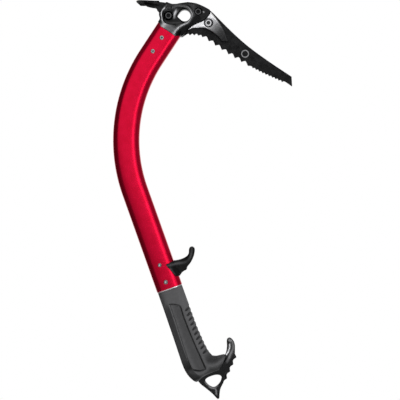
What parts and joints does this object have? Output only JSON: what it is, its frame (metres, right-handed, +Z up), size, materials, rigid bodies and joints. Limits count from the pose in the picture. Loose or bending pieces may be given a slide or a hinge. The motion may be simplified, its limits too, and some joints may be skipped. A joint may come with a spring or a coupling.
{
  "type": "ice climbing tool",
  "caption": "Bent-shaft ice climbing tool with a forged head, toothed pick with side weights, adze, finger rest and moulded handle with a spiked pommel.",
  "frame": {"origin": "middle of the clip hole in the head", "axes": "+X the way the pick points, +Z up with the head at the top as the tool hangs, +Y across the tool from its pictured side to its far side"},
  "size_m": [0.2249, 0.0394, 0.5009],
  "materials": {
    "head_alloy": "forged, dark satin",
    "pick_steel": "black oxide, satin",
    "adze_steel": "black oxide, satin",
    "bolt_steel": "black oxide, semi-gloss",
    "screw_steel": "bright zinc",
    "nut_steel": "zinc, satin",
    "weight_steel": "blasted, bright",
    "rivet_metal": "bright",
    "shaft_alloy": "red anodised, satin",
    "trigger_plastic": "moulded, soft gloss",
    "core_alloy": "forged, black semi-gloss",
    "grip_rubber": "moulded, matt",
    "panel_rubber": "fine-textured, matt"
  },
  "bodies": {
    "tool": {"head": "head_alloy", "pick": "pick_steel", "pick_nut": "nut_steel", "adze": "adze_steel", "adze_nut": "nut_steel", "weight_left": "weight_steel", "weight_right": "weight_steel", "weight_nut": "nut_steel", "head_rivet_upper": "rivet_metal", "head_rivet_lower": "rivet_metal", "shaft": "shaft_alloy", "trigger": "trigger_plastic", "trigger_pin": "rivet_metal", "handle_core": "core_alloy", "handle_rivet": "rivet_metal", "grip": "grip_rubber", "grip_panel_left": "panel_rubber", "grip_panel_right": "panel_rubber"},
    "pick_bolt": {"pick_bolt": "bolt_steel"},
    "adze_bolt": {"adze_bolt": "bolt_steel"},
    "weight_screw": {"weight_screw": "screw_steel"}
  },
  "joints": [
    {"name": "pick_bolt_turn", "type": "hinge", "parent": "tool", "child": "pick_bolt", "pos_m": [0.0168, 0, 0.0043], "axis": [0, -1, 0], "continuous": true},
    {"name": "adze_bolt_turn", "type": "hinge", "parent": "tool", "child": "adze_bolt", "pos_m": [-0.0205, 0, -0.0005], "axis": [0, -1, 0], "continuous": true},
    {"name": "weight_screw_turn", "type": "hinge", "parent": "tool", "child": "weight_screw", "pos_m": [0.0297, 0, -0.0096], "axis": [0, -1, 0], "continuous": true}
  ]
}
